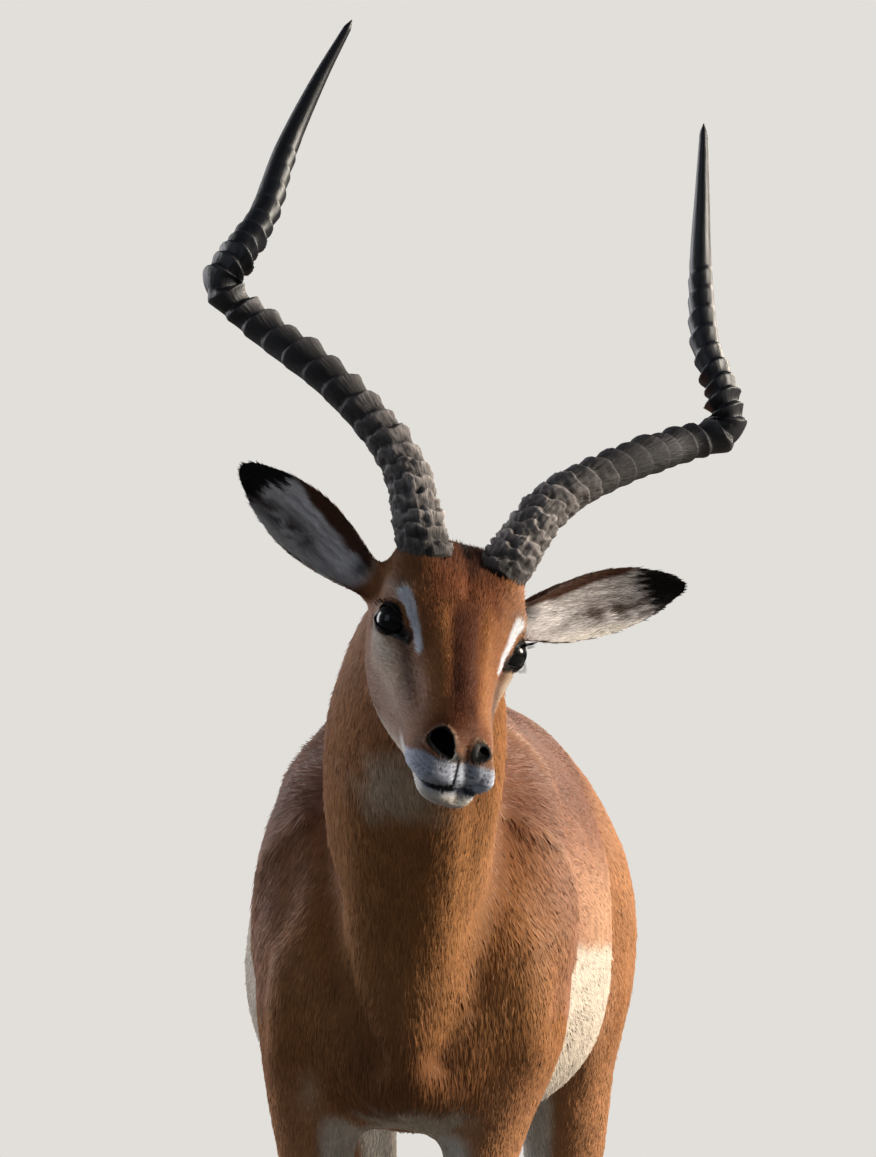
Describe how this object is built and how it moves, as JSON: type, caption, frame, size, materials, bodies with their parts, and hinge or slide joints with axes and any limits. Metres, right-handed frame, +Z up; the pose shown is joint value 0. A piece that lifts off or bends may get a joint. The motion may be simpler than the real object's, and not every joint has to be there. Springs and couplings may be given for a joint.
{
  "type": "impala antelope",
  "caption": "Standing adult male antelope with long lyre-shaped ringed horns, short rufous coat and white belly, head turned a little to its left; a still life-size model.",
  "frame": {"origin": "middle of the bounding box, on the floor under the soles", "axes": "+X to the animal's left, -Y the way it faces, +Z up"},
  "size_m": [0.4262, 1.3158, 1.4015],
  "materials": {
    "coat": "short sleek hair: rufous saddle, tan flanks, white belly, chin and inner legs",
    "ear_coat": "short hair, whitish inside, black at the tip",
    "horn": "keratin: rough and grey-brown at the root, black and smooth at the tip",
    "eye": "wet and glossy, dark brown",
    "hoof": "smooth dark keratin"
  },
  "bodies": {
    "root": {"foreleg_left": "coat", "foreleg_right": "coat", "hind_leg_left": "coat", "hind_leg_right": "coat", "ear_left": "ear_coat", "ear_right": "ear_coat", "tail": "coat", "head": "coat", "neck": "coat", "trunk": "coat", "eye_left": "eye", "horn_left": "horn", "eye_right": "eye", "horn_right": "horn", "hoof_foreleg_left_outer": "hoof", "dewclaw_foreleg_left_outer": "hoof", "hoof_foreleg_left_inner": "hoof", "dewclaw_foreleg_left_inner": "hoof", "hoof_foreleg_right_outer": "hoof", "dewclaw_foreleg_right_outer": "hoof", "hoof_foreleg_right_inner": "hoof", "dewclaw_foreleg_right_inner": "hoof", "hoof_hind_leg_left_outer": "hoof", "dewclaw_hind_leg_left_outer": "hoof", "hoof_hind_leg_left_inner": "hoof", "dewclaw_hind_leg_left_inner": "hoof", "hoof_hind_leg_right_outer": "hoof", "dewclaw_hind_leg_right_outer": "hoof", "hoof_hind_leg_right_inner": "hoof", "dewclaw_hind_leg_right_inner": "hoof"}
  },
  "joints": []
}
